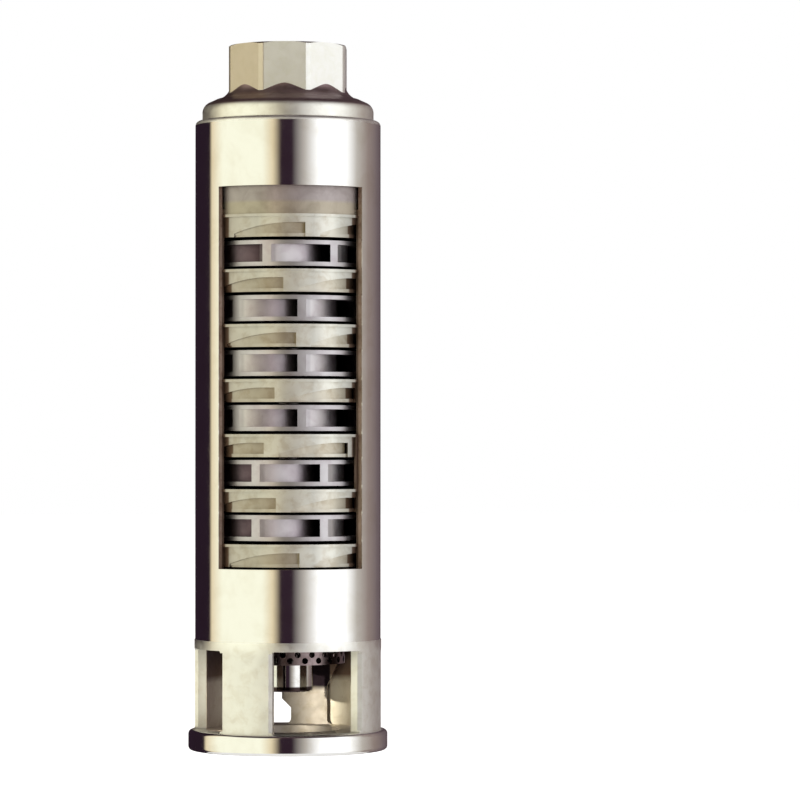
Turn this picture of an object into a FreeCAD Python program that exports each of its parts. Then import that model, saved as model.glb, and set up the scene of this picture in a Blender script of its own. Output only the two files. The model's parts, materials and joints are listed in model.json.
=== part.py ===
"""Multistage borehole pump end with a viewing window cut in its shell.

Millimetres. The origin is the centre of the base flange's lower face, and +Z runs up to the outlet.
An azimuth is an angle in degrees about +Z, counted from the window's middle (-Y) towards +X.
"""

import FreeCAD, Part
import math
import os

from FreeCAD import Vector

# Motor end, to the common six-inch motor flange
PILOT_DIA = 76.3
STUD_CIRCLE_DIA = 111.13
STUD_COUNT = 4
STUD_HOLE_DIA = 13.5
FIRST_STUD_AZIMUTH = 18.5
FLANGE_DIA = 147.0
FLANGE_THICK = 15.0
FLANGE_EDGE_ROUND = 3.0

# Suction cage
CAGE_DIA = 138.0
CAGE_OPENING_HEIGHT = 60.0
CAGE_RING_THICK = 6.5
LEG_THICK = 9.0
LEG_EDGE_CHAMFER = 2.5
OPENING_EDGES = ((-12.0, 47.2), (83.0, 126.0), (168.1, 228.9), (264.9, 312.1))
OPENING_CORNER_ROUND = 1.5
LAND_AZIMUTH = 160.9
LAND_WIDTH = 28.2
LAND_THICK = 3.5
LAND_GUSSET_WIDTHS = (6.5, 17.0)
LAND_GUSSET_STARTS = (48.0, 31.0)
LAND_GUSSET_ENDS = (41.0, 0.0)
LAND_FOOT_ROUND = 4.4
THROAT_DIA = 88.0
SPIGOT_WALL = 7.0
SPIGOT_HEIGHT = 14.5
SPIDER_RIB_COUNT = 4
SPIDER_RIB_THICK = 5.0
LOWER_HUB_LENGTH = 18.0
HUB_ABOVE_COUPLING = 1.0

# Strainer cup under the throat
STRAINER_DIA = 84.0
STRAINER_DEPTH = 11.0
STRAINER_SHEET = 0.8
STRAINER_RIM_WIDTH = 6.0
STRAINER_HOLE_DIA = 4.6
STRAINER_HOLES_PER_ROW = 24
STRAINER_ROW_HEIGHTS = (3.2, 7.6)
STRAINER_SLOT_COUNT = 12
STRAINER_SLOT_WIDTH = 4.0
STRAINER_SLOT_LENGTH = 15.0
COUPLING_GAP = 1.2

# Shell
SHELL_DIA = 137.0
SHELL_WALL = 3.5
WINDOW_HALF_ANGLE = 49.8
WINDOW_BELOW_STACK = 1.5
WINDOW_ABOVE_STACK = 20.4

# Stages
STAGE_COUNT = 7
IMPELLER_DIA = 114.8
IMPELLER_HEIGHT = 18.8
SHROUD_THICK = 3.0
IMPELLER_GAP_BELOW = 2.4
IMPELLER_GAP_ABOVE = 2.2
IMPELLER_HUB_DIA = 38.0
IMPELLER_HUB_PROUD = 1.0
IMPELLER_VANE_COUNT = 7
IMPELLER_VANE_THICK = 1.9
IMPELLER_VANE_ANGLE = 20.0
IMPELLER_VANE_INNER_DIA = 62.0
IMPELLER_HUB_FOOT_DIA = 31.0
IMPELLER_HUB_WAIST_DIA = 41.0
FIRST_VANE_AZIMUTH = 4.5
IMPELLER_TURNS = (1, 2, 2, 0, 0, 0, 3)
EYE_DIA = 66.0
NECK_DIA = 72.0
NECK_LENGTH = 6.0

# Bowls
BOWL_HEIGHT = 16.6
BOWL_PLATE_THICK = 2.4
BOWL_WALL = 3.0
BOWL_LIP_THICK = 2.0
BOWL_FLOOR_SETBACK = 1.5
BOWL_HUB_WALL = 4.5
SKIRT_WALL = 1.7
SKIRT_GAP = 0.2
STANDING_SKIRT_STAGE = 2
STANDING_SKIRT_ANGLE = 47.5
GUIDE_VANE_COUNT = 6
GUIDE_VANE_THICK = 2.4
GUIDE_VANE_START_DEPTH = 0.8
GUIDE_VANE_MOUTH_DEPTH = 3.6
GUIDE_VANE_MIDDLE_DIA = 88.0
GUIDE_VANE_INNER_WRAP = 58.0
SCOOP_ANGLE = 50.0
SCOOP_RAMP_WIDTH = 42.0
SCOOP_HEIGHT = 10.4
SCOOP_BOW = 1.6
BOWL_AZIMUTHS = (5.3, -10.3, -18.5, -11.2, 3.0, -5.4, 9.2)
INLET_WALL = 6.0

# Wear rings and bearings
WEAR_RING_WALL = 2.8
WEAR_RING_HEIGHT = 5.0
BEARING_WALL = 4.0
SLEEVE_DIA = 29.0

# Shaft, coupling and what clamps the rotor
SHAFT_FLATS = 22.2
SHAFT_ABOVE_NUT = 3.0
COUPLING_DIA = 36.5
COUPLING_LENGTH = 44.0
COUPLING_BOTTOM = 43.1
COUPLING_EDGE = 1.0
SPLINE_LENGTH = 24.5
SPLINE_TEETH = 15
SPLINE_MAJOR_DIA = 25.6
SPLINE_MINOR_DIA = 22.4
SPLINE_TOOTH_SHARES = (0.4, 0.55, 0.85)
LEAD_IN_DIA = 26.2
LEAD_IN_LENGTH = 6.0
PIN_DIA = 5.0
WASHER_DIA = 36.0
WASHER_THICK = 2.5
NUT_FLATS = 32.0
NUT_HEIGHT = 10.0

# Clamping ring, head and its seals
TOP_RING_HEIGHT = 37.4
TOP_RING_WALL = 7.0
HEAD_SPIGOT_HEIGHT = 34.0
HEAD_SPIGOT_BORE = 104.0
SEAL_SIZE = 3.0
SEAL_LEVEL = 10.0
SHOULDER_DIA = 126.6
SHOULDER_HEIGHT = 5.0
SHOULDER_SET_IN = 5.3
SHOULDER_RISE = 8.6
SHOULDER_BOW = 1.8
FLARE_DIA = 106.0
FLARE_EDGE_RISE = 2.3
FLARE_HEIGHT = 9.4
FLARE_BOW = 2.1
OCTAGON_FLATS = 85.4
OCTAGON_CORNER_DIA = 91.0
OCTAGON_HEIGHT = 30.3
OCTAGON_CHAMFER_WIDTH = 2.2
OCTAGON_CHAMFER_HEIGHT = 1.3
OCTAGON_AZIMUTH = 16.5
OUTLET_DIA = 75.2
OUTLET_LENGTH = 26.0
OUTLET_CHAMFER = 1.5

# Check valve inside the head
CHAMBER_DIA = 92.0
SEAT_LEVEL = 6.0
SEAT_BORE = 54.0
SEAT_FLANGE_THICK = 4.0
SEAT_THICK = 7.0
SEAT_LIP_WIDTH = 3.0
SEAT_LIP_HEIGHT = 1.5
SNAP_RING_THICK = 2.0
SNAP_RING_WIDTH = 4.5
SNAP_RING_GAP = 12.0
SNAP_GROOVE_DEPTH = 1.5
POPPET_DIA = 64.0
POPPET_THICK = 5.0
POPPET_EDGE = 2.0
POPPET_NOSE_DEPTH = 5.0
POPPET_NOSE_DIA = 34.0
POPPET_SEAL_THICK = 2.0
POPPET_SEAL_WIDTH = 6.0
POPPET_GAP = 0.05
STEM_DIA = 10.0
STEM_ABOVE_GUIDE = 2.0
GUIDE_RIM_WIDTH = 5.0
GUIDE_RIM_HEIGHT = 4.0
GUIDE_ARM_COUNT = 4
GUIDE_ARM_WIDTH = 5.0
GUIDE_HUB_DIA = 20.0
GUIDE_HUB_LENGTH = 12.0
SPRING_WIRE = 1.2
SPRING_DIA = 17.0
SPRING_TURNS = 3.5
SPRING_LENGTH = 18.4

# Clearances
FIT_GAP = 0.05
RUN_GAP = 0.06
WEAR_GAP = 0.25
OVERLAP = 1.0
FAR = 200.0
QUARTER_BOW = 1 - math.sqrt(0.5)

# Levels above the flange's lower face
CAGE_RING_BOTTOM = FLANGE_THICK + CAGE_OPENING_HEIGHT
SHELL_BOTTOM = CAGE_RING_BOTTOM + CAGE_RING_THICK
STACK_BOTTOM = SHELL_BOTTOM + SPIGOT_HEIGHT
STAGE_PITCH = BOWL_HEIGHT + IMPELLER_GAP_BELOW + IMPELLER_HEIGHT + IMPELLER_GAP_ABOVE
INLET_TOP = STACK_BOTTOM + BOWL_HEIGHT
STACK_TOP = INLET_TOP + STAGE_COUNT * STAGE_PITCH
HEAD_BOTTOM = STACK_TOP + TOP_RING_HEIGHT
SHELL_TOP = HEAD_BOTTOM + HEAD_SPIGOT_HEIGHT
SHOULDER_TOP = SHELL_TOP + SHOULDER_HEIGHT + SHOULDER_RISE
OCTAGON_BOTTOM = SHOULDER_TOP + FLARE_EDGE_RISE + FLARE_HEIGHT
HEAD_TOP = OCTAGON_BOTTOM + OCTAGON_HEIGHT
SEAT_BOTTOM = HEAD_BOTTOM + SEAT_LEVEL
POPPET_BOTTOM = SEAT_BOTTOM + SEAT_THICK + SEAT_LIP_HEIGHT + POPPET_GAP
POPPET_TOP = POPPET_BOTTOM + POPPET_SEAL_THICK + POPPET_THICK
GUIDE_BOTTOM = POPPET_TOP + SPRING_LENGTH

# Radii that several pieces share
SHELL_BORE_R = SHELL_DIA / 2 - SHELL_WALL
SPIGOT_R = SHELL_BORE_R - FIT_GAP
SKIRT_R = SHELL_BORE_R - FIT_GAP
BOWL_R = SKIRT_R - SKIRT_WALL - SKIRT_GAP
SLEEVE_R = SLEEVE_DIA / 2
BEARING_BORE_R = SLEEVE_R + RUN_GAP
BEARING_R = BEARING_BORE_R + BEARING_WALL
HUB_BORE_R = BEARING_R + FIT_GAP
HUB_R = HUB_BORE_R + BOWL_HUB_WALL
WEAR_BORE_R = NECK_DIA / 2 + WEAR_GAP
WEAR_R = WEAR_BORE_R + WEAR_RING_WALL
WEAR_SEAT_R = WEAR_R + FIT_GAP
COUPLING_TOP = COUPLING_BOTTOM + COUPLING_LENGTH
LOWER_HUB_BOTTOM = COUPLING_TOP + HUB_ABOVE_COUPLING
LOWER_HUB_TOP = LOWER_HUB_BOTTOM + LOWER_HUB_LENGTH
SHAFT_BOTTOM = COUPLING_BOTTOM + LEAD_IN_LENGTH + SPLINE_LENGTH + FIT_GAP
HEX_BORE_FLATS = SHAFT_FLATS + 2 * FIT_GAP


def at(azimuth, radius, z=0.0):
    """The point at an azimuth and a radius about the shaft."""
    a = math.radians(azimuth)
    return Vector(radius * math.sin(a), -radius * math.cos(a), z)


def bowed(start, end, bow):
    """An arc step for turned: it bulges by bow to the right of the way from start to end."""
    run, rise = end[0] - start[0], end[1] - start[1]
    length = math.hypot(run, rise)
    middle = (
        (start[0] + end[0]) / 2 + bow * rise / length,
        (start[1] + end[1]) / 2 - bow * run / length,
    )
    return middle, end


def turned(start, *steps):
    """A solid of revolution. Each step is the next (radius, z) corner, or what bowed gives."""
    edges = []
    here = start
    for step in (*steps, start):
        arc = isinstance(step[0], tuple)
        end = step[1] if arc else step
        a = Vector(here[0], 0, here[1])
        b = Vector(end[0], 0, end[1])
        if arc:
            edges.append(Part.Arc(a, Vector(step[0][0], 0, step[0][1]), b).toShape())
        elif a.distanceToPoint(b) > 1e-6:
            edges.append(Part.LineSegment(a, b).toShape())
        here = end
    face = Part.Face(Part.Wire(edges))
    return face.revolve(Vector(), Vector(0, 0, 1), 360)


def tube(inner_r, outer_r, low, high):
    """A plain ring about the shaft."""
    return turned((inner_r, low), (outer_r, low), (outer_r, high), (inner_r, high))


def disc(radius, low, high):
    """A plain cylinder about the shaft."""
    return Part.makeCylinder(radius, high - low, Vector(0, 0, low))


def prism(points, low, high):
    """A closed outline of (x, y) points, raised from low to high."""
    corners = [Vector(x, y, low) for x, y in points]
    face = Part.Face(Part.makePolygon(corners + corners[:1]))
    return face.extrude(Vector(0, 0, high - low))


def regular_prism(sides, across_flats, low, high, azimuth=0.0):
    """A prism with equal sides, one corner at the azimuth."""
    corner_r = across_flats / 2 / math.cos(math.pi / sides)
    corners = [at(azimuth + 360 * i / sides, corner_r) for i in range(sides)]
    return prism([(p.x, p.y) for p in corners], low, high)


def wedge(azimuth, half_angle, inner_r, outer_r, low, high):
    """A block between two radial walls."""
    corners = [
        at(azimuth - half_angle, inner_r),
        at(azimuth - half_angle, outer_r),
        at(azimuth, outer_r / math.cos(math.radians(half_angle))),
        at(azimuth + half_angle, outer_r),
        at(azimuth + half_angle, inner_r),
    ]
    return prism([(p.x, p.y) for p in corners], low, high)


def spun(shape, azimuth):
    """A copy turned about the shaft."""
    copy = shape.copy()
    copy.rotate(Vector(), Vector(0, 0, 1), azimuth)
    return copy


def lifted(shape, rise):
    """A copy moved up the shaft."""
    copy = shape.copy()
    copy.translate(Vector(0, 0, rise))
    return copy


def around(shape, count, first=0.0):
    """Copies of a shape, evenly spaced about the shaft."""
    return [spun(shape, first + 360 * i / count) for i in range(count)]


def fused(*shapes):
    """One solid of several that meet, with its seams cleaned."""
    return shapes[0].fuse(list(shapes[1:])).removeSplitter()


def curved_vane(stations, thick, low, high):
    """An upright vane whose middle line is an arc through three (azimuth, radius) stations."""
    middle = Part.Arc(*[at(azimuth, radius, low) for azimuth, radius in stations])
    left, right = [], []
    for share in (0, 0.5, 1):
        place = middle.FirstParameter + share * (middle.LastParameter - middle.FirstParameter)
        along = middle.tangent(place)[0]
        across = Vector(-along.y, along.x, 0) * (thick / 2)
        left.append(middle.value(place) + across)
        right.append(middle.value(place) - across)
    outline = Part.Wire(
        [
            Part.Arc(*left).toShape(),
            Part.LineSegment(left[2], right[2]).toShape(),
            Part.Arc(*reversed(right)).toShape(),
            Part.LineSegment(right[0], left[0]).toShape(),
        ]
    )
    return Part.Face(outline).extrude(Vector(0, 0, high - low))


def radial_hole(azimuth, radius, z, hole_r, depth):
    """A cylinder that points away from the shaft, centred on a wall."""
    outward = at(azimuth, 1.0)
    start = at(azimuth, radius - depth / 2, z)
    return Part.makeCylinder(hole_r, depth, start, outward)


def leg_edge_trim(azimuth, side):
    """The sliver that chamfers a leg's outer edge at an azimuth, on that side of it."""
    r = CAGE_DIA / 2
    aside = side * math.degrees(LEG_EDGE_CHAMFER / r)
    back = -side * math.degrees(OVERLAP / r)
    corners = [
        at(azimuth + back, r - LEG_EDGE_CHAMFER - OVERLAP),
        at(azimuth, r - LEG_EDGE_CHAMFER),
        at(azimuth + aside, r),
        at(azimuth + aside, r + OVERLAP),
        at(azimuth + back, r + OVERLAP),
    ]
    low = FLANGE_THICK + OPENING_CORNER_ROUND
    high = CAGE_RING_BOTTOM - OPENING_CORNER_ROUND
    return prism([(p.x, p.y) for p in corners], low, high)


def opening_cutters():
    """The four openings between the legs, with rounded corners and chamfered upright edges."""
    cutters = []
    inner_r = CAGE_DIA / 2 - LEG_THICK - OVERLAP
    for start, end in OPENING_EDGES:
        azimuth, half = (start + end) / 2, (end - start) / 2
        block = wedge(azimuth, half, inner_r, CAGE_DIA, FLANGE_THICK, CAGE_RING_BOTTOM)
        corners = []
        for edge in block.Edges:
            a, b = [v.Point for v in edge.Vertexes]
            level = abs(a.z - b.z) < FIT_GAP
            radial = abs(a.x * b.y - a.y * b.x) < FIT_GAP
            if level and radial:
                corners.append(edge)
        cutters.append(block.makeFillet(OPENING_CORNER_ROUND, corners))
        cutters += [leg_edge_trim(start, -1), leg_edge_trim(end, 1)]
    return cutters


def rear_land():
    """The thicker land inside the rear leg, gusseted towards the ring and rounded out at its foot.

    A gusset starts and ends at its own depths below the ring, on the left and on the right.
    """
    half = LAND_WIDTH / 2
    low, high = FLANGE_THICK - OVERLAP, CAGE_RING_BOTTOM + OVERLAP
    foot = FLANGE_THICK
    toe = half + LAND_FOOT_ROUND
    bend = LAND_FOOT_ROUND * QUARTER_BOW
    edges = []
    reaches = [half + width for width in LAND_GUSSET_WIDTHS]
    for side, reach, start, end in zip((1, -1), reaches, LAND_GUSSET_STARTS, LAND_GUSSET_ENDS):
        line = [(toe, low), (toe, foot), (half + bend, foot + bend), (half, foot + LAND_FOOT_ROUND)]
        line += [(half, CAGE_RING_BOTTOM - start), (reach, CAGE_RING_BOTTOM - end), (reach, high)]
        p = [Vector(side * x, 0, z) for x, z in line]
        edges.append(Part.LineSegment(p[0], p[1]).toShape())
        edges.append(Part.Arc(p[1], p[2], p[3]).toShape())
        edges += [Part.LineSegment(a, b).toShape() for a, b in zip(p[3:], p[4:])]
    edges.append(Part.LineSegment(Vector(-toe, 0, low), Vector(toe, 0, low)).toShape())
    edges.append(Part.LineSegment(Vector(-reaches[1], 0, high), Vector(reaches[0], 0, high)).toShape())
    outline = Part.Wire(Part.__sortEdges__(edges))
    block = Part.Face(outline).extrude(Vector(0, -CAGE_DIA, 0))
    outer_r = CAGE_DIA / 2 - LEG_THICK + OVERLAP
    ring = tube(outer_r - OVERLAP - LAND_THICK, outer_r, low, high)
    return ring.common(spun(block, LAND_AZIMUTH))


def suction_bracket():
    """The cast cage: base flange, four legs, ring, spigot into the shell, and the bearing spider."""
    r = FLANGE_DIA / 2
    e = FLANGE_EDGE_ROUND
    pilot_r = PILOT_DIA / 2
    flange = turned(
        (pilot_r, 0),
        (r - e, 0),
        bowed((r - e, 0), (r, e), e * QUARTER_BOW),
        (r, FLANGE_THICK - e),
        bowed((r, FLANGE_THICK - e), (r - e, FLANGE_THICK), e * QUARTER_BOW),
        (pilot_r, FLANGE_THICK),
    )
    cage_r = CAGE_DIA / 2
    legs = tube(cage_r - LEG_THICK, cage_r, FLANGE_THICK - OVERLAP, CAGE_RING_BOTTOM + OVERLAP)
    legs = legs.cut(opening_cutters())
    ring = tube(THROAT_DIA / 2, cage_r, CAGE_RING_BOTTOM, SHELL_BOTTOM)
    spigot_bore = SPIGOT_R - SPIGOT_WALL
    spigot = turned(
        (spigot_bore, SHELL_BOTTOM - OVERLAP),
        (SPIGOT_R, SHELL_BOTTOM - OVERLAP),
        *seal_groove(SHELL_BOTTOM + SEAL_LEVEL),
        (SPIGOT_R, STACK_BOTTOM),
        (spigot_bore, STACK_BOTTOM),
    )
    hub = tube(HUB_BORE_R, HUB_R, LOWER_HUB_BOTTOM, LOWER_HUB_TOP)
    rib = Part.makeBox(
        SPIDER_RIB_THICK,
        spigot_bore - HUB_R + 2 * OVERLAP,
        STACK_BOTTOM - LOWER_HUB_BOTTOM,
        Vector(-SPIDER_RIB_THICK / 2, HUB_R - OVERLAP, LOWER_HUB_BOTTOM),
    )
    ribs = around(rib, SPIDER_RIB_COUNT, FIRST_STUD_AZIMUTH)
    bracket = fused(flange, legs, rear_land(), ring, spigot, hub, *ribs)
    first_stud = at(FIRST_STUD_AZIMUTH, STUD_CIRCLE_DIA / 2)
    stud = Part.makeCylinder(STUD_HOLE_DIA / 2, FLANGE_THICK, first_stud)
    return bracket.cut(around(stud, STUD_COUNT))


def strainer():
    """A perforated sheet cup under the throat, open at its middle for the coupling."""
    outer_r = STRAINER_DIA / 2
    inner_r = outer_r - STRAINER_SHEET
    hole_r = COUPLING_DIA / 2 + COUPLING_GAP
    top = CAGE_RING_BOTTOM
    low = top - STRAINER_DEPTH
    rim_r = outer_r + STRAINER_RIM_WIDTH
    cup = turned(
        (hole_r, low),
        (outer_r, low),
        (outer_r, top - STRAINER_SHEET),
        (rim_r, top - STRAINER_SHEET),
        (rim_r, top),
        (inner_r, top),
        (inner_r, low + STRAINER_SHEET),
        (hole_r, low + STRAINER_SHEET),
    )
    pitch = 360 / STRAINER_HOLES_PER_ROW
    holes = []
    for row, height in enumerate(STRAINER_ROW_HEIGHTS):
        z = low + height
        hole = radial_hole(row * pitch / 2, outer_r, z, STRAINER_HOLE_DIA / 2, 4 * STRAINER_SHEET)
        holes += around(hole, STRAINER_HOLES_PER_ROW)
    slot_start = (hole_r + inner_r - STRAINER_SLOT_LENGTH) / 2
    slot = Part.makeBox(
        STRAINER_SLOT_WIDTH,
        STRAINER_SLOT_LENGTH,
        3 * STRAINER_SHEET,
        Vector(-STRAINER_SLOT_WIDTH / 2, slot_start, low - STRAINER_SHEET),
    )
    return cup.cut(holes + around(slot, STRAINER_SLOT_COUNT))


def shell():
    """The polished outer tube, its top edge rolled in, with the viewing window."""
    r = SHELL_DIA / 2
    bore = SHELL_BORE_R
    brim = SHELL_TOP - SHELL_WALL
    body = turned(
        (bore, SHELL_BOTTOM),
        (r, SHELL_BOTTOM),
        (r, brim),
        bowed((r, brim), (bore, SHELL_TOP), SHELL_WALL * QUARTER_BOW),
    )
    return body.cut(viewing_window())


def viewing_window():
    """The block that the window takes out of the shell."""
    low = bowl_bottom(1) - WINDOW_BELOW_STACK
    high = STACK_TOP + WINDOW_ABOVE_STACK
    return wedge(0, WINDOW_HALF_ANGLE, OVERLAP, FAR, low, high)


def seal_groove(level):
    """The groove round a spigot, as steps for turned."""
    low = level - SEAL_SIZE / 2 - FIT_GAP
    high = level + SEAL_SIZE / 2 + FIT_GAP
    floor_r = SPIGOT_R - SEAL_SIZE
    return (SPIGOT_R, low), (floor_r, low), (floor_r, high), (SPIGOT_R, high)


def spigot_seal(level):
    """A lathe-cut rubber ring in its groove, against the shell's bore."""
    outer_r = SPIGOT_R
    return tube(outer_r - SEAL_SIZE + FIT_GAP, outer_r, level - SEAL_SIZE / 2, level + SEAL_SIZE / 2)


def skirt_top(lip_top):
    """Where a skirt ends, under the lip of the next bowl."""
    return lip_top + STAGE_PITCH - BOWL_LIP_THICK


def window_above(level, right=WINDOW_HALF_ANGLE):
    """The block that takes a skirt away from the window, from its bowl's lip up."""
    middle = (right - WINDOW_HALF_ANGLE) / 2
    half = (right + WINDOW_HALF_ANGLE) / 2
    return wedge(middle, half, OVERLAP, FAR, level, STACK_TOP + STAGE_PITCH)


def crown_steps(top):
    """The seat for a wear ring and the plate round it, as steps for turned."""
    hanger_r = WEAR_SEAT_R + BOWL_PLATE_THICK
    return (
        (WEAR_SEAT_R, top - WEAR_RING_HEIGHT),
        (hanger_r, top - WEAR_RING_HEIGHT),
        (hanger_r, top - BOWL_PLATE_THICK),
    )


def inlet_bowl():
    """The plate below the first impeller, with the skirt round it."""
    top = INLET_TOP
    wall_in = BOWL_R - INLET_WALL
    body = turned(
        (WEAR_SEAT_R, top),
        *crown_steps(top),
        (wall_in, top - BOWL_PLATE_THICK),
        (wall_in, STACK_BOTTOM),
        (SKIRT_R, STACK_BOTTOM),
        (SKIRT_R, skirt_top(top)),
        (SKIRT_R - SKIRT_WALL, skirt_top(top)),
        (SKIRT_R - SKIRT_WALL, top),
    )
    return body.cut(viewing_window())


def scoop_cutter():
    """The mouth of one diffuser passage: it opens to the right and ends at a square step, azimuth 0."""
    half = BOWL_R * math.sin(math.radians(SCOOP_ANGLE / 2))
    crest = SCOOP_RAMP_WIDTH - half
    y = -BOWL_R - OVERLAP
    foot = Vector(-half, y, BOWL_PLATE_THICK)
    edge = ((-half, BOWL_PLATE_THICK), (crest, SCOOP_HEIGHT))
    bend = bowed(*edge, -SCOOP_BOW)[0]
    outline = Part.Wire(
        [
            Part.Arc(foot, Vector(bend[0], y, bend[1]), Vector(crest, y, SCOOP_HEIGHT)).toShape(),
            Part.LineSegment(Vector(crest, y, SCOOP_HEIGHT), Vector(half, y, SCOOP_HEIGHT)).toShape(),
            Part.LineSegment(Vector(half, y, SCOOP_HEIGHT), Vector(half, y, BOWL_PLATE_THICK)).toShape(),
            Part.LineSegment(Vector(half, y, BOWL_PLATE_THICK), foot).toShape(),
        ]
    )
    depth = BOWL_R * (1 - math.cos(math.radians(SCOOP_ANGLE / 2))) + BOWL_WALL + 2 * OVERLAP
    block = Part.Face(outline).extrude(Vector(0, depth, 0))
    return spun(block, -SCOOP_ANGLE / 2)


def guide_vane():
    """A return vane: the floor of its scoop, which falls away to the step, then a blade in to the hub."""
    start_r = BOWL_R - GUIDE_VANE_START_DEPTH - GUIDE_VANE_THICK / 2
    mouth_r = BOWL_R - GUIDE_VANE_MOUTH_DEPTH - GUIDE_VANE_THICK / 2
    wrap = GUIDE_VANE_INNER_WRAP
    floor = ((-SCOOP_ANGLE, start_r), (-SCOOP_ANGLE / 2, (start_r + mouth_r) / 2), (0, mouth_r))
    blade = ((0, mouth_r), (wrap / 2, GUIDE_VANE_MIDDLE_DIA / 2), (wrap, HUB_R - OVERLAP))
    low, high = BOWL_PLATE_THICK / 2, BOWL_HEIGHT - BOWL_PLATE_THICK / 2
    joint = Part.makeCylinder(GUIDE_VANE_THICK / 2, high - low, at(0, mouth_r, low))
    parts = [curved_vane(stations, GUIDE_VANE_THICK, low, high) for stations in (floor, blade)]
    under_ring = disc(WEAR_SEAT_R, BOWL_HEIGHT - WEAR_RING_HEIGHT, BOWL_HEIGHT)
    return fused(*parts, joint).cut(under_ring)


def plain_bowl(skirt_rise):
    """A diffuser bowl with its step at azimuth 0 and its lower face at z = 0."""
    top = BOWL_HEIGHT
    wall_in = BOWL_R - BOWL_WALL
    crown = turned(
        (WEAR_SEAT_R, top),
        *crown_steps(top),
        (wall_in, top - BOWL_PLATE_THICK),
        (wall_in, 0),
        (BOWL_R, 0),
        (BOWL_R, top - BOWL_LIP_THICK),
        (SKIRT_R, top - BOWL_LIP_THICK),
        (SKIRT_R, skirt_rise),
        (SKIRT_R - SKIRT_WALL, skirt_rise),
        (SKIRT_R - SKIRT_WALL, top),
    )
    crown = crown.cut(around(scoop_cutter(), GUIDE_VANE_COUNT))
    foot_trim = tube(BOWL_R - BOWL_FLOOR_SETBACK, BOWL_R + OVERLAP, -OVERLAP, BOWL_PLATE_THICK)
    scoop_floor = wedge(-SCOOP_ANGLE / 2, SCOOP_ANGLE / 2, OVERLAP, FAR, -OVERLAP, BOWL_PLATE_THICK)
    crown = crown.cut([foot_trim.common(f) for f in around(scoop_floor, GUIDE_VANE_COUNT)])
    base = turned(
        (HUB_BORE_R, 0),
        (wall_in + OVERLAP, 0),
        (wall_in + OVERLAP, BOWL_PLATE_THICK),
        (HUB_R, BOWL_PLATE_THICK),
        (HUB_R, BOWL_HEIGHT - FIT_GAP),
        (HUB_BORE_R, BOWL_HEIGHT - FIT_GAP),
    )
    return fused(base, crown, *around(guide_vane(), GUIDE_VANE_COUNT))


def bowl_bottom(stage):
    """The lower face of the bowl above an impeller, stages counted from 1 at the bottom."""
    return INLET_TOP + stage * STAGE_PITCH - BOWL_HEIGHT


def placed_bowl(blank, stage):
    """One bowl at its place, its skirt cut away behind the window."""
    body = lifted(spun(blank, BOWL_AZIMUTHS[stage - 1]), bowl_bottom(stage))
    right = STANDING_SKIRT_ANGLE if stage == STANDING_SKIRT_STAGE else WINDOW_HALF_ANGLE
    return body.cut(window_above(bowl_bottom(stage) + BOWL_HEIGHT, right))


def impeller_blank():
    """A closed impeller with its lower rim at z = 0, ready to stand on the hexagonal shaft."""
    r = IMPELLER_DIA / 2
    top = IMPELLER_HEIGHT
    eye_r = EYE_DIA / 2
    neck_r = NECK_DIA / 2
    hub_r = IMPELLER_HUB_DIA / 2
    front = turned(
        (eye_r, -NECK_LENGTH),
        (neck_r, -NECK_LENGTH),
        (neck_r, 0),
        (r, 0),
        (r, SHROUD_THICK),
        (neck_r + SHROUD_THICK / 2, SHROUD_THICK),
        (eye_r, 0),
    )
    low = -IMPELLER_HUB_PROUD
    high = top + IMPELLER_HUB_PROUD
    back = turned(
        (0, low),
        (IMPELLER_HUB_FOOT_DIA / 2, low),
        (IMPELLER_HUB_WAIST_DIA / 2, top / 2),
        (eye_r, top - SHROUD_THICK),
        (r, top - SHROUD_THICK),
        (r, top),
        (hub_r, top),
        (hub_r, high),
        (0, high),
    )
    bore = regular_prism(6, HEX_BORE_FLATS, low - OVERLAP, high + OVERLAP)
    inner_r = IMPELLER_VANE_INNER_DIA / 2
    wrap = math.degrees(math.log(r / inner_r) / math.tan(math.radians(IMPELLER_VANE_ANGLE)))
    stations = ((0, r + OVERLAP), (wrap / 2, math.sqrt(r * inner_r)), (wrap, inner_r))
    vane = curved_vane(stations, IMPELLER_VANE_THICK, SHROUD_THICK / 2, top - SHROUD_THICK / 2)
    vane = vane.common(disc(r, 0, top)).cut(disc(neck_r, 0, SHROUD_THICK))
    return fused(front, back.cut(bore), *around(vane, IMPELLER_VANE_COUNT, FIRST_VANE_AZIMUTH))


def impeller_bottom(stage):
    """The lower rim of an impeller, stages counted from 1 at the bottom."""
    return INLET_TOP + (stage - 1) * STAGE_PITCH + IMPELLER_GAP_BELOW


def hex_sleeve(outer_r, low, high):
    """A round sleeve with a hexagonal bore over the shaft."""
    bore = regular_prism(6, HEX_BORE_FLATS, low - OVERLAP, high + OVERLAP)
    return disc(outer_r, low, high).cut(bore)


def rotor_top():
    """The top of the last sleeve."""
    return impeller_bottom(STAGE_COUNT + 1) - IMPELLER_HUB_PROUD


def shaft():
    """A hexagonal shaft from the coupling to the nut, cross-drilled for the coupling's pin."""
    top = rotor_top() + WASHER_THICK + NUT_HEIGHT + SHAFT_ABOVE_NUT
    body = regular_prism(6, SHAFT_FLATS, SHAFT_BOTTOM, top)
    return body.cut(coupling_pin(PIN_DIA / 2 + FIT_GAP, COUPLING_DIA))


def spline_outline(low, high):
    """The toothed bore for the motor's shaft."""
    minor_r = SPLINE_MINOR_DIA / 2
    major_r = SPLINE_MAJOR_DIA / 2
    step = 360 / SPLINE_TEETH
    crest_end, root_start, root_end = SPLINE_TOOTH_SHARES
    tooth = ((0, minor_r), (crest_end, minor_r), (root_start, major_r), (root_end, major_r))
    points = []
    for i in range(SPLINE_TEETH):
        for share, radius in tooth:
            p = at((i + share) * step, radius)
            points.append((p.x, p.y))
    return prism(points, low, high)


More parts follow.
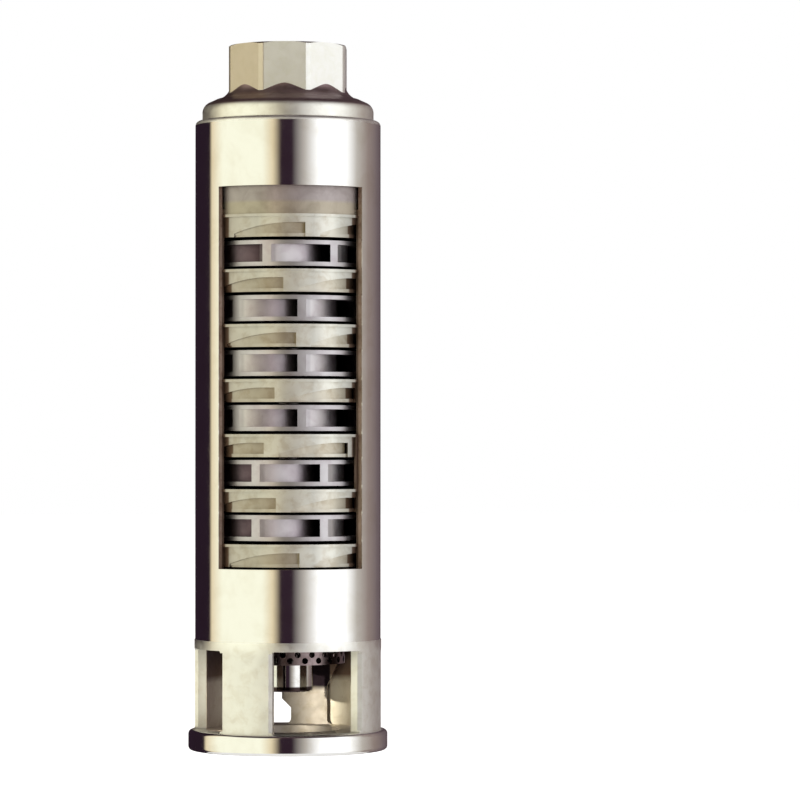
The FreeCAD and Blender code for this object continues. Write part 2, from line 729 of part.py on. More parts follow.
def coupling_pin(radius, length):
    """A cross pin at the middle of the shaft's grip in the coupling."""
    z = (SHAFT_BOTTOM + COUPLING_TOP) / 2
    return Part.makeCylinder(radius, length, Vector(-length / 2, 0, z), Vector(1, 0, 0))


def coupling():
    """The sleeve that joins the motor's splined shaft to the pump's hexagonal one."""
    r = COUPLING_DIA / 2
    e = COUPLING_EDGE
    lead_in_r = LEAD_IN_DIA / 2
    spline_low = COUPLING_BOTTOM + LEAD_IN_LENGTH
    spline_high = spline_low + SPLINE_LENGTH
    body = turned(
        (0, COUPLING_BOTTOM),
        (r - e, COUPLING_BOTTOM),
        (r, COUPLING_BOTTOM + e),
        (r, COUPLING_TOP - e),
        (r - e, COUPLING_TOP),
        (0, COUPLING_TOP),
    )
    lead_in = disc(lead_in_r, COUPLING_BOTTOM - OVERLAP, spline_low)
    socket = regular_prism(6, HEX_BORE_FLATS, spline_high - FIT_GAP, COUPLING_TOP + OVERLAP)
    pin_hole = coupling_pin(PIN_DIA / 2 + FIT_GAP, COUPLING_DIA + OVERLAP)
    return body.cut([lead_in, spline_outline(spline_low - FIT_GAP, spline_high), socket, pin_hole])


def shaft_nut():
    """The nut that clamps the impellers and sleeves down on the coupling."""
    low = rotor_top() + WASHER_THICK
    body = regular_prism(6, NUT_FLATS, low, low + NUT_HEIGHT)
    bore = regular_prism(6, HEX_BORE_FLATS, low - OVERLAP, low + NUT_HEIGHT + OVERLAP)
    return body.cut(bore)


def top_ring():
    """The ring that passes the head's clamping force to the stack."""
    return tube(BOWL_R - TOP_RING_WALL, BOWL_R, STACK_TOP + FIT_GAP, HEAD_BOTTOM)


def discharge_head():
    """The cast head: spigot and seal groove, rounded shoulder, flared neck and octagonal outlet."""
    shoulder_r = SHOULDER_DIA / 2
    shoulder_foot = (shoulder_r, SHELL_TOP + SHOULDER_HEIGHT)
    shoulder_end = (shoulder_r - SHOULDER_SET_IN, SHOULDER_TOP)
    flat_r = OCTAGON_FLATS / 2
    flare_foot = (FLARE_DIA / 2, SHOULDER_TOP + FLARE_EDGE_RISE)
    flare_end = (flat_r, OCTAGON_BOTTOM)
    outlet_r = OUTLET_DIA / 2
    chamber_r = CHAMBER_DIA / 2
    spigot_bore = HEAD_SPIGOT_BORE / 2
    groove_r = spigot_bore + SNAP_GROOVE_DEPTH
    groove_low = SEAT_BOTTOM - SNAP_RING_THICK - FIT_GAP
    ledge = SEAT_BOTTOM + SEAT_FLANGE_THICK + FIT_GAP
    ceiling = GUIDE_BOTTOM + GUIDE_RIM_HEIGHT + FIT_GAP
    body = turned(
        (spigot_bore, HEAD_BOTTOM),
        (SPIGOT_R, HEAD_BOTTOM),
        *seal_groove(SHELL_TOP - SEAL_LEVEL),
        (SPIGOT_R, SHELL_TOP),
        (shoulder_r, SHELL_TOP),
        shoulder_foot,
        bowed(shoulder_foot, shoulder_end, SHOULDER_BOW),
        flare_foot,
        bowed(flare_foot, flare_end, -FLARE_BOW),
        (flat_r, HEAD_TOP - OVERLAP),
        (outlet_r, HEAD_TOP - OVERLAP),
        (outlet_r, HEAD_TOP - OUTLET_LENGTH),
        (chamber_r - GUIDE_RIM_WIDTH, ceiling),
        (chamber_r, ceiling),
        (chamber_r, ledge),
        (spigot_bore, ledge),
        (spigot_bore, SEAT_BOTTOM),
        (groove_r, SEAT_BOTTOM),
        (groove_r, groove_low),
        (spigot_bore, groove_low),
    )
    octagon = regular_prism(8, OCTAGON_FLATS, SHOULDER_TOP, HEAD_TOP, OCTAGON_AZIMUTH)
    corner_r = OCTAGON_CORNER_DIA / 2
    limit = turned(
        (outlet_r, HEAD_TOP - OUTLET_LENGTH),
        (flat_r, SHOULDER_TOP),
        (corner_r, SHOULDER_TOP),
        (corner_r, HEAD_TOP - OCTAGON_CHAMFER_HEIGHT),
        (corner_r - OCTAGON_CHAMFER_WIDTH, HEAD_TOP),
        (outlet_r + OUTLET_CHAMFER, HEAD_TOP),
        (outlet_r, HEAD_TOP - OUTLET_CHAMFER),
    )
    return fused(body, octagon.common(limit))


def valve_seat():
    """The flanged ring that the poppet closes on, with a raised lip."""
    top = SEAT_BOTTOM + SEAT_THICK
    bore = SEAT_BORE / 2
    flange_r = HEAD_SPIGOT_BORE / 2 - FIT_GAP
    body_r = CHAMBER_DIA / 2 - FIT_GAP
    ledge = SEAT_BOTTOM + SEAT_FLANGE_THICK
    return turned(
        (bore, SEAT_BOTTOM),
        (flange_r, SEAT_BOTTOM),
        (flange_r, ledge),
        (body_r, ledge),
        (body_r, top),
        (bore + SEAT_LIP_WIDTH, top),
        (bore + SEAT_LIP_WIDTH, top + SEAT_LIP_HEIGHT),
        (bore, top + SEAT_LIP_HEIGHT),
    )


def seat_snap_ring():
    """The split ring, in its groove, that holds the seat up against its ledge."""
    outer_r = HEAD_SPIGOT_BORE / 2 + SNAP_GROOVE_DEPTH - FIT_GAP
    low = SEAT_BOTTOM - SNAP_RING_THICK
    ring = tube(outer_r - SNAP_RING_WIDTH, outer_r, low, SEAT_BOTTOM)
    gap = Part.makeBox(SNAP_RING_GAP, FAR, FAR, Vector(-SNAP_RING_GAP / 2, 0, low - OVERLAP))
    return ring.cut(gap)


def poppet_seal_r():
    """The outer radius of the poppet's rubber face."""
    return SEAT_BORE / 2 + SEAT_LIP_WIDTH + OVERLAP


def poppet_seal():
    """The rubber face of the poppet."""
    r = poppet_seal_r()
    return tube(r - POPPET_SEAL_WIDTH, r, POPPET_BOTTOM, POPPET_BOTTOM + POPPET_SEAL_THICK)


def valve_poppet():
    """The disc of the check valve, with a nose below and its guide stem above."""
    low = POPPET_BOTTOM + POPPET_SEAL_THICK
    r = POPPET_DIA / 2
    stem_r = STEM_DIA / 2
    stem_top = GUIDE_BOTTOM + GUIDE_HUB_LENGTH + STEM_ABOVE_GUIDE
    plug_r = poppet_seal_r() - POPPET_SEAL_WIDTH - FIT_GAP
    nose = POPPET_BOTTOM - POPPET_NOSE_DEPTH
    return turned(
        (0, nose),
        (POPPET_NOSE_DIA / 2, nose),
        (plug_r, POPPET_BOTTOM),
        (plug_r, low),
        (r, low),
        (r, POPPET_TOP - POPPET_EDGE),
        (r - POPPET_EDGE, POPPET_TOP),
        (stem_r, POPPET_TOP),
        (stem_r, stem_top),
        (0, stem_top),
    )


def valve_guide():
    """The spider above the poppet, its hub round the stem."""
    low = GUIDE_BOTTOM
    rim_r = CHAMBER_DIA / 2 - FIT_GAP
    hub_r = GUIDE_HUB_DIA / 2
    rim = tube(rim_r - GUIDE_RIM_WIDTH, rim_r, low, low + GUIDE_RIM_HEIGHT)
    hub = tube(STEM_DIA / 2 + RUN_GAP, hub_r, low, low + GUIDE_HUB_LENGTH)
    arm = Part.makeBox(
        GUIDE_ARM_WIDTH,
        rim_r - GUIDE_RIM_WIDTH - hub_r + 2 * OVERLAP,
        GUIDE_RIM_HEIGHT,
        Vector(-GUIDE_ARM_WIDTH / 2, hub_r - OVERLAP, low),
    )
    return fused(rim, hub, *around(arm, GUIDE_ARM_COUNT, OCTAGON_AZIMUTH))


def valve_spring():
    """The light square-wire spring between the guide's hub and the poppet."""
    height = SPRING_LENGTH - SPRING_WIRE
    inner_r = SPRING_DIA / 2 - SPRING_WIRE
    path = lifted(Part.makeHelix(height / SPRING_TURNS, height, inner_r), POPPET_TOP)
    outer_r = inner_r + SPRING_WIRE
    corners = [(inner_r, 0), (outer_r, 0), (outer_r, SPRING_WIRE), (inner_r, SPRING_WIRE)]
    points = [Vector(x, 0, POPPET_TOP + z) for x, z in corners]
    section = Part.makePolygon(points + points[:1])
    return Part.Wire(path.Edges).makePipeShell([section], True, True)


def save(name, shape):
    """Writes one sub-part and says what it is."""
    shape.exportStep(f"parts/{name}.step")
    print(f"{name}: {len(shape.Solids)} solid, {shape.Volume / 1000:.2f} cm3, valid {shape.isValid()}")


def save_static_parts():
    """What stands still: cage, shell, bowls, rings, bearings, head and valve seat."""
    save("suction_bracket", suction_bracket())
    save("strainer", strainer())
    save("shell", shell())
    save("bracket_seal", spigot_seal(SHELL_BOTTOM + SEAL_LEVEL))
    save("head_seal", spigot_seal(SHELL_TOP - SEAL_LEVEL))
    save("inlet_bowl", inlet_bowl())
    save("lower_bearing", tube(BEARING_BORE_R, BEARING_R, LOWER_HUB_BOTTOM, LOWER_HUB_TOP))
    ring = tube(WEAR_BORE_R, WEAR_R, -WEAR_RING_HEIGHT, 0)
    bearing = tube(BEARING_BORE_R, BEARING_R, 0, BOWL_HEIGHT - FIT_GAP)
    skirted = plain_bowl(skirt_top(BOWL_HEIGHT))
    last = plain_bowl(BOWL_HEIGHT + 2 * BOWL_LIP_THICK)
    for stage in range(1, STAGE_COUNT + 1):
        blank = skirted if stage < STAGE_COUNT else last
        save(f"bowl_{stage}", placed_bowl(blank, stage))
        save(f"wear_ring_{stage}", lifted(ring, INLET_TOP + (stage - 1) * STAGE_PITCH))
        save(f"bowl_bearing_{stage}", lifted(bearing, bowl_bottom(stage)))
    save("top_ring", top_ring())
    save("discharge_head", discharge_head())
    save("valve_seat", valve_seat())
    save("seat_snap_ring", seat_snap_ring())
    save("valve_guide", valve_guide())


def save_rotor_parts():
    """What turns with the shaft."""
    save("shaft", shaft())
    save("coupling", coupling())
    save("coupling_pin", coupling_pin(PIN_DIA / 2, COUPLING_DIA - 2 * COUPLING_EDGE))
    first_hub = impeller_bottom(1) - IMPELLER_HUB_PROUD
    save("lower_sleeve", hex_sleeve(SLEEVE_R, COUPLING_TOP, first_hub))
    blank = impeller_blank()
    for stage in range(1, STAGE_COUNT + 1):
        body = lifted(spun(blank, 60 * IMPELLER_TURNS[stage - 1]), impeller_bottom(stage))
        save(f"impeller_{stage}", body)
        low = impeller_bottom(stage) + IMPELLER_HEIGHT + IMPELLER_HUB_PROUD
        high = impeller_bottom(stage + 1) - IMPELLER_HUB_PROUD
        save(f"sleeve_{stage}", hex_sleeve(SLEEVE_R, low, high))
    low = rotor_top()
    save("top_washer", hex_sleeve(WASHER_DIA / 2, low, low + WASHER_THICK))
    save("shaft_nut", shaft_nut())


def save_valve_parts():
    """What lifts when the pump delivers."""
    save("valve_poppet", valve_poppet())
    save("poppet_seal", poppet_seal())
    save("valve_spring", valve_spring())


os.makedirs("parts", exist_ok=True)
save_static_parts()
save_rotor_parts()
save_valve_parts()
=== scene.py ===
"""Looks for the cutaway borehole pump: studio, camera, finishes and the outlet's thread.

Metres. +Z runs up the shaft, and the viewing window faces -Y.
An azimuth is in degrees about +Z, from -Y towards +X.
"""

import json
import math

import bmesh
import bpy
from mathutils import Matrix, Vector


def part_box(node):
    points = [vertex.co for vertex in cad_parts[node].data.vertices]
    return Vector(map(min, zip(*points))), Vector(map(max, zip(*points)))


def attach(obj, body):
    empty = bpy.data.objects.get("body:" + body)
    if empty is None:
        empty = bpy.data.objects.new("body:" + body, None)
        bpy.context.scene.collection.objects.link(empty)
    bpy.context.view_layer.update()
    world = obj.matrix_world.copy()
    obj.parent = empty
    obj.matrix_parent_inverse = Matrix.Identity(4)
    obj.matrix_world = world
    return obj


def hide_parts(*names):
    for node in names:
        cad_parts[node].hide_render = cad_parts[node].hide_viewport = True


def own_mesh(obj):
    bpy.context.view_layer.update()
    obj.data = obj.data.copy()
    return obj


MM = 0.001

# Camera: a long lens at stage height, a little to the left of the window's middle
CAMERA_AZIMUTH = -2.3
CAMERA_DISTANCE = 2.960
CAMERA_HEIGHT = 0.225
CAMERA_TILT_UP = 0.64
CAMERA_TURN_LEFT = 3.904
LENS = 180
SENSOR = 36

# Floor
FLOOR_SIZE = 20.0
FLOOR_COLOUR = (0.86, 0.86, 0.86)
FLOOR_GLOW = 0.92
FLOOR_GAP = 0.2 * MM

# Outlet thread, G 2 1/2
THREAD_PITCH = 2.309 * MM
THREAD_DEPTH = 1.5 * MM
THREAD_ROOT_R = 37.62 * MM
THREAD_START = 1.5 * MM
THREAD_LENGTH = 24.0 * MM
THREAD_STEPS = 72
# Half the ridge's foot in pitches, and the crest's share of the foot
THREAD_FOOT = 0.46
THREAD_CREST = 0.12

STEEL = (0.80, 0.79, 0.77)


def seen(red, green, blue, share=1.0):
    """The light that shows as this 8-bit colour in polished steel."""
    light = []
    for value, metal in zip((red, green, blue), STEEL):
        v = value / 255
        linear = v / 12.92 if v <= 0.04045 else ((v + 0.055) / 1.055) ** 2.4
        light.append(share * linear / metal)
    return (*light, 1.0)


# What the studio's panels and flags show in polished steel
BLACK_FLAG = seen(37, 25, 35)
BROWN_GAP = seen(46, 32, 42)
CREAM = seen(251, 250, 226)
CREAM_EDGE = seen(226, 210, 174)
WHITE = seen(255, 255, 253, 1.12)
HALF_GREY = seen(186, 180, 172)
WALL_GREY = seen(142, 128, 122)
WALL_DIM = seen(108, 95, 97)
WALL_DARK = seen(66, 52, 58)
CEILING = seen(62, 46, 52)

# The panels and flags by azimuth from the camera
STUDIO = (
    (-180, BLACK_FLAG),
    (-114, BLACK_FLAG),
    (-109, CREAM_EDGE),
    (-88, CREAM),
    (-32, CREAM),
    (-19, CREAM_EDGE),
    (-9, BROWN_GAP),
    (5, BROWN_GAP),
    (21, HALF_GREY),
    (38, WHITE),
    (76, WHITE),
    (95, HALF_GREY),
    (118, WALL_GREY),
    (146, WALL_DIM),
    (180, WALL_DARK),
)
CEILING_STARTS = 36
CEILING_FULL = 56
STUDIO_RADIUS = 12.0
STUDIO_FOOT = -35
STUDIO_TOP = 89
STUDIO_BANDS = 12
STUDIO_SIDES = 72

# The white ground's strength for diffuse rays
DIM_GROUND = 0.35

# Two snooted lamps at the front left: one reaches the land at the cage's back, one the right leg's side
LAMP_AZIMUTH = -50
LAMP_DISTANCE = 1.2
LAMP_RADIUS = 14 * MM
LAMP_SOFT_EDGE = 0.25
LAMP_COLOUR = (1.0, 0.97, 0.80)
LAMPS = {
    "key": {"target": (22 * MM, 52 * MM, 29 * MM), "elevation": 9, "beam": 58 * MM, "power": 50},
    "kicker": {"target": (54 * MM, -53 * MM, 45 * MM), "elevation": 1, "beam": 64 * MM, "power": 14},
}


def add(tree, kind):
    """A shader node of that kind."""
    return tree.nodes.new("ShaderNode" + kind)


def math_node(tree, operation, *values):
    """A Math node fed by sockets or numbers; its output socket."""
    node = add(tree, "Math")
    node.operation = operation
    for socket, value in zip(node.inputs, values):
        if isinstance(value, (int, float)):
            socket.default_value = value
        else:
            tree.links.new(value, socket)
    return node.outputs[0]


def ramp(tree, value, stops):
    """A colour ramp over (place, colour) stops; its colour output."""
    node = add(tree, "ValToRGB")
    band = node.color_ramp
    band.interpolation = "LINEAR"
    while len(band.elements) < len(stops):
        band.elements.new(0.5)
    for element, (place, colour) in zip(band.elements, sorted(stops, key=lambda s: s[0])):
        element.position = place
        element.color = colour
    tree.links.new(value, node.inputs["Fac"])
    return node.outputs["Color"]


def map_range(tree, value, low, high, to_low=0.0, to_high=1.0, kind="SMOOTHSTEP"):
    """A clamped change of range; its output socket."""
    node = add(tree, "MapRange")
    node.interpolation_type = kind
    tree.links.new(value, node.inputs["Value"])
    node.inputs["From Min"].default_value = low
    node.inputs["From Max"].default_value = high
    node.inputs["To Min"].default_value = to_low
    node.inputs["To Max"].default_value = to_high
    return node.outputs["Result"]


def mix_colour(tree, share, a, b, blend="MIX"):
    """A mix of two colours, each a socket or a tuple; its output socket."""
    node = add(tree, "Mix")
    node.data_type = "RGBA"
    node.blend_type = blend
    for name, value in (("Factor", share), ("A", a), ("B", b)):
        socket = next(s for s in node.inputs if s.name == name and s.enabled)
        if isinstance(value, bpy.types.NodeSocket):
            tree.links.new(value, socket)
        else:
            socket.default_value = value
    return next(s for s in node.outputs if s.enabled)


def own_position(tree):
    """A point's place on its own object, in metres; an output socket."""
    return add(tree, "TexCoord").outputs["Object"]


def split_axes(tree, vector):
    """A vector's output sockets "X", "Y" and "Z"."""
    node = add(tree, "SeparateXYZ")
    tree.links.new(vector, node.inputs[0])
    return node.outputs


def vector_node(tree, operation, vector):
    """A Vector Math node fed by a socket."""
    node = add(tree, "VectorMath")
    node.operation = operation
    tree.links.new(vector, node.inputs[0])
    return node


def make_camera():
    """The photograph's viewpoint."""
    data = bpy.data.cameras.new("camera")
    data.lens = LENS
    data.sensor_width = SENSOR
    data.clip_end = 3 * FLOOR_SIZE
    camera = bpy.data.objects.new("camera", data)
    bpy.context.scene.collection.objects.link(camera)
    a = math.radians(CAMERA_AZIMUTH)
    camera.location = (CAMERA_DISTANCE * math.sin(a), -CAMERA_DISTANCE * math.cos(a), CAMERA_HEIGHT)
    turn = math.radians(-CAMERA_TURN_LEFT)
    camera.rotation_euler = (math.radians(90 + CAMERA_TILT_UP), 0, turn)
    bpy.context.scene.camera = camera


def background_rays(tree):
    """1 for the rays that show the white ground: camera, glossy and transmission; else 0."""
    rays = add(tree, "LightPath")
    shown = math_node(tree, "ADD", rays.outputs["Is Camera Ray"], rays.outputs["Is Glossy Ray"])
    shown = math_node(tree, "ADD", shown, rays.outputs["Is Transmission Ray"])
    return math_node(tree, "MINIMUM", shown, 1.0)


def make_ground():
    """The world: a white ground, which only diffuse rays find dimmer."""
    world = bpy.data.worlds.new("ground")
    bpy.context.scene.world = world
    world.use_nodes = True
    tree = world.node_tree
    tree.nodes.clear()
    light = add(tree, "Background")
    light.inputs["Color"].default_value = (1, 1, 1, 1)
    light.inputs["Strength"].default_value = DIM_GROUND
    ground = add(tree, "Background")
    ground.inputs["Color"].default_value = (1, 1, 1, 1)
    mix = add(tree, "MixShader")
    tree.links.new(background_rays(tree), mix.inputs[0])
    tree.links.new(light.outputs[0], mix.inputs[1])
    tree.links.new(ground.outputs[0], mix.inputs[2])
    output = add(tree, "OutputWorld")
    tree.links.new(mix.outputs[0], output.inputs["Surface"])


def studio_mesh():
    """A dome that is open below, so that what looks down sees the white ground."""
    rings = []
    for i in range(STUDIO_BANDS + 1):
        elevation = math.radians(STUDIO_FOOT + (STUDIO_TOP - STUDIO_FOOT) * i / STUDIO_BANDS)
        r, z = STUDIO_RADIUS * math.cos(elevation), STUDIO_RADIUS * math.sin(elevation)
        turns = [2 * math.pi * j / STUDIO_SIDES for j in range(STUDIO_SIDES)]
        rings.append([(r * math.sin(a), -r * math.cos(a), z) for a in turns])
    points = [point for ring in rings for point in ring]
    faces = []
    for i in range(STUDIO_BANDS):
        for j in range(STUDIO_SIDES):
            k = (j + 1) % STUDIO_SIDES
            low, high = i * STUDIO_SIDES, (i + 1) * STUDIO_SIDES
            faces.append((low + j, low + k, high + k, high + j))
    faces.append(tuple(range(STUDIO_BANDS * STUDIO_SIDES, (STUDIO_BANDS + 1) * STUDIO_SIDES)))
    mesh = bpy.data.meshes.new("studio_panels")
    mesh.from_pydata(points, [], faces)
    return mesh


def make_studio():
    """Soft panels and dark flags all round the object, out of the camera's sight."""
    mesh = studio_mesh()
    studio = bpy.data.objects.new("studio_panels", mesh)
    bpy.context.scene.collection.objects.link(studio)
    studio.visible_camera = False
    studio.visible_shadow = False
    material, tree, surface = new_material("studio_light")
    direction = vector_node(tree, "NORMALIZE", own_position(tree))
    axes = split_axes(tree, direction.outputs[0])
    forward = math_node(tree, "MULTIPLY", axes["Y"], -1.0)
    azimuth = math_node(tree, "ARCTAN2", axes["X"], forward)
    turned = math_node(tree, "SUBTRACT", azimuth, math.radians(CAMERA_AZIMUTH))
    wrapped = math_node(tree, "WRAP", turned, math.pi, -math.pi)
    place = map_range(tree, wrapped, -math.pi, math.pi, kind="LINEAR")
    walls = ramp(tree, place, [((degrees + 180) / 360, colour) for degrees, colour in STUDIO])
    start, full = (math.sin(math.radians(e)) for e in (CEILING_STARTS, CEILING_FULL))
    above = map_range(tree, axes["Z"], start, full)
    light = add(tree, "Emission")
    tree.links.new(mix_colour(tree, above, walls, CEILING), light.inputs["Color"])
    tree.links.new(light.outputs[0], surface)
    mesh.materials.append(material)


def make_lamp(name, target, elevation, beam, power):
    """A narrow warm lamp; its beam is that wide at the target."""
    lamp = bpy.data.lights.new(name, "SPOT")
    lamp.energy = power
    lamp.spot_size = 2 * math.atan(beam / 2 / LAMP_DISTANCE)
    lamp.spot_blend = LAMP_SOFT_EDGE
    lamp.shadow_soft_size = LAMP_RADIUS
    lamp.color = LAMP_COLOUR
    obj = bpy.data.objects.new(name, lamp)
    bpy.context.scene.collection.objects.link(obj)
    a, up = math.radians(LAMP_AZIMUTH), math.radians(elevation)
    towards = Vector((math.sin(a) * math.cos(up), -math.cos(a) * math.cos(up), math.sin(up)))
    obj.location = Vector(target) + LAMP_DISTANCE * towards
    obj.rotation_euler = towards.to_track_quat("Z", "Y").to_euler()


def new_material(name):
    """An empty material; the material, its tree and its surface socket."""
    material = bpy.data.materials.new(name)
    material.use_nodes = True
    tree = material.node_tree
    tree.nodes.clear()
    output = add(tree, "OutputMaterial")
    return material, tree, output.inputs["Surface"]


def make_floor():
    """A plain pale floor that keeps the object's shadow."""
    mesh = bpy.data.meshes.new("floor")
    h = FLOOR_SIZE / 2
    mesh.from_pydata([(-h, -h, 0), (h, -h, 0), (h, h, 0), (-h, h, 0)], [], [(0, 1, 2, 3)])
    floor = bpy.data.objects.new("floor", mesh)
    bpy.context.scene.collection.objects.link(floor)
    floor.location.z = -FLOOR_GAP
    floor.visible_glossy = False
    material, tree, surface = new_material("pale_floor")
    matte = add(tree, "BsdfDiffuse")
    matte.inputs["Color"].default_value = (*FLOOR_COLOUR, 1)
    glow = add(tree, "Emission")
    strength = math_node(tree, "MULTIPLY", background_rays(tree), FLOOR_GLOW)
    tree.links.new(strength, glow.inputs["Strength"])
    both = add(tree, "AddShader")
    tree.links.new(matte.outputs[0], both.inputs[0])
    tree.links.new(glow.outputs[0], both.inputs[1])
    tree.links.new(both.outputs[0], surface)
    mesh.materials.append(material)


def noise(tree, position, size, detail=3.0, roughness=0.5, distortion=0.0):
    """Cloudy noise with features of about that size in metres; its 0 to 1 output."""
    node = add(tree, "TexNoise")
    tree.links.new(position, node.inputs["Vector"])
    node.inputs["Scale"].default_value = 1 / size
    node.inputs["Detail"].default_value = detail
    node.inputs["Roughness"].default_value = roughness
    node.inputs["Distortion"].default_value = distortion
    return node.outputs["Fac"]


def axis_distance(tree, position):
    """How far a point lies from the shaft's axis, in metres."""
    flat = vector_node(tree, "MULTIPLY", position)
    flat.inputs[1].default_value = (1, 1, 0)
    return vector_node(tree, "LENGTH", flat.outputs[0]).outputs["Value"]


def banded(tree, value, bands):
    """A colour by a value in metres, between (value, colour) bands."""
    low, high = bands[0][0], bands[-1][0]
    place = map_range(tree, value, low, high, kind="LINEAR")
    return ramp(tree, place, [((at - low) / (high - low), (*colour, 1)) for at, colour in bands])


def metal_shader(tree, colour, stain, stain_size, roughness, grain_size, grain_depth, tints=None):
    """A metal with cloudy stains and a fine grain; sizes in metres. Its shader output.

    Tints multiply the colour: "X", "Y" or "Z" names bands along that axis, and "R" by distance from
    the shaft's axis.
    """
    position = own_position(tree)
    clouds = noise(tree, position, stain_size, **STAIN_CLOUDS)
    share = map_range(tree, clouds, *STAIN_RANGE)
    tint = mix_colour(tree, share, (*colour, 1), (*stain, 1))
    axes = split_axes(tree, position)
    for axis, bands in (tints or {}).items():
        value = axis_distance(tree, position) if axis == "R" else axes[axis]
        tint = mix_colour(tree, 1.0, tint, banded(tree, value, bands), "MULTIPLY")
    specks = noise(tree, position, grain_size, GRAIN_DETAIL)
    bump = add(tree, "Bump")
    bump.inputs["Distance"].default_value = grain_depth
    bump.inputs["Strength"].default_value = 1.0
    tree.links.new(specks, bump.inputs["Height"])
    patches = noise(tree, position, stain_size * PATCH_SHARE)
    shine = map_range(tree, patches, *PATCH_RANGE, *roughness, "LINEAR")
    shader = add(tree, "BsdfPrincipled")
    shader.inputs["Metallic"].default_value = 1.0
    tree.links.new(tint, shader.inputs["Base Color"])
    tree.links.new(shine, shader.inputs["Roughness"])
    tree.links.new(bump.outputs[0], shader.inputs["Normal"])
    return shader.outputs[0]


def metal(name, **look):
    """A material of one metal finish."""
    material, tree, surface = new_material(name)
    tree.links.new(metal_shader(tree, **look), surface)
    return material


# Clouds of stain, patches of roughness and grain
STAIN_CLOUDS = {"detail": 5.0, "roughness": 0.6, "distortion": 0.4}
STAIN_RANGE = (0.42, 0.72)
PATCH_SHARE = 0.6
PATCH_RANGE = (0.3, 0.7)
GRAIN_DETAIL = 2.0

# Tints by distance from the shaft's axis, by height, across or from front to back; most are painted shade
# and painted light, set where shadow and light fall
FULL = (1.0, 1.0, 1.0)
# Painted shade: the bowls darken deeper in, to near black inside their recesses and passages
BOWL_RECESS_SHADE = (
    (56.0 * MM, (0.03, 0.02, 0.025)),
    (59.0 * MM, (0.55, 0.48, 0.41)),
    (60.5 * MM, (0.80, 0.75, 0.68)),
    (62.9 * MM, FULL),
)
# Painted shadow: the bowls go dark brown behind a plane just inside the window's cut edges, where the
# shell's edge shades them
WINDOW_EDGE_SHADOW = ((-44.7 * MM, FULL), (-43.9 * MM, (0.34, 0.25, 0.21)))
# Painted shadow inside the cage: near black above 44 mm, where the strainer and coupling shade the back
CAGE_SHADOW_ABOVE = (
    (40.0 * MM, FULL),
    (44.0 * MM, (0.035, 0.025, 0.04)),
    (76.0 * MM, (0.05, 0.04, 0.05)),
)
# Painted shade on the cage's right and right-facing inner faces above 53 mm
CAGE_RIGHT_SHADOW_ABOVE = (
    (48.0 * MM, FULL),
    (53.0 * MM, (0.30, 0.22, 0.20)),
    (76.0 * MM, (0.10, 0.08, 0.08)),
)
# Painted shade on the cage's left inner faces above 50 mm
CAGE_LEFT_SHADE_ABOVE = (
    (40.0 * MM, FULL),
    (50.0 * MM, (0.62, 0.58, 0.60)),
    (73.0 * MM, (0.52, 0.48, 0.50)),
    (76.0 * MM, (0.10, 0.08, 0.08)),
)
# Painted light and shade across the bowls: lighter bands as painted highlights, darker towards the sides
BOWL_PAINTED_LIGHT = (
    (-45.0 * MM, (0.92, 0.87, 0.82)),
    (-25.0 * MM, (1.04, 1.02, 0.98)),
    (-17.0 * MM, (1.34, 1.32, 1.26)),
    (-10.0 * MM, (1.62, 1.60, 1.52)),
    (0.0, (1.58, 1.56, 1.49)),
    (8.0 * MM, (1.50, 1.49, 1.42)),
    (16.0 * MM, (1.20, 1.20, 1.16)),
    (24.0 * MM, (1.42, 1.42, 1.37)),
    (30.0 * MM, (1.42, 1.43, 1.37)),
    (36.0 * MM, (1.14, 1.16, 1.12)),
    (50.0 * MM, (0.92, 0.92, 0.90)),
)
# Painted light across the top ring: lighter bands in the middle
TOP_RING_PAINTED_LIGHT = (
    (-22.0 * MM, FULL),
    (-12.0 * MM, (1.38, 1.33, 1.40)),
    (4.0 * MM, (1.34, 1.31, 1.36)),
    (14.0 * MM, (1.12, 1.11, 1.12)),
)
# Painted shade on the octagon's left faces
OCTAGON_LEFT_SHADE = ((-20.0 * MM, (0.66, 0.58, 0.49)), (-19.0 * MM, FULL))
# Painted shade deep in the impellers' channels, near black by 41 mm; also a little darker at the outer
# rim
IMPELLER_CHANNEL_SHADE = (
    (41.0 * MM, (0.01, 0.006, 0.008)),
    (45.5 * MM, (0.75, 0.70, 0.74)),
    (56.0 * MM, FULL),
    (56.6 * MM, (0.80, 0.80, 0.81)),
)
# Painted light across the impellers: lighter bands where light falls
IMPELLER_PAINTED_LIGHT = (
    (-34.0 * MM, FULL),
    (-26.0 * MM, (1.12, 1.11, 1.13)),
    (-14.0 * MM, (1.30, 1.26, 1.25)),
    (-7.0 * MM, FULL),
    (19.0 * MM, FULL),
    (25.0 * MM, (1.16, 1.17, 1.16)),
)
# Painted shade: the strainer is near black inside, within 41 mm of the axis
STRAINER_INSIDE_SHADE = ((41.0 * MM, (0.06, 0.05, 0.05)), (41.5 * MM, FULL))

# The tints of the coupling's foot and top, which are painted shade, and of the top ring's foot, and how
# high those feet reach
COUPLING_FOOT = 3.2 * MM
COUPLING_FOOT_SHADE = (0.06, 0.04, 0.04)
COUPLING_SHADE_FROM = 0.5 * MM
COUPLING_SHADE_FULL = 2.0 * MM
COUPLING_TOP_SHADE = (0.05, 0.04, 0.04)
RING_FOOT = 8.0 * MM
RING_FOOT_TINT = (1.12, 1.12, 0.92)
FOOT_FADE = 1.3

# Finishes
POLISHED = {
    "colour": STEEL,
    "stain": (0.75, 0.73, 0.69),
    "stain_size": 22 * MM,
    "roughness": (0.07, 0.11),
    "grain_size": 1.2 * MM,
    "grain_depth": 0.001 * MM,
}
BRIM = {**POLISHED, "colour": (0.97, 0.96, 0.92), "roughness": (0.42, 0.48)}
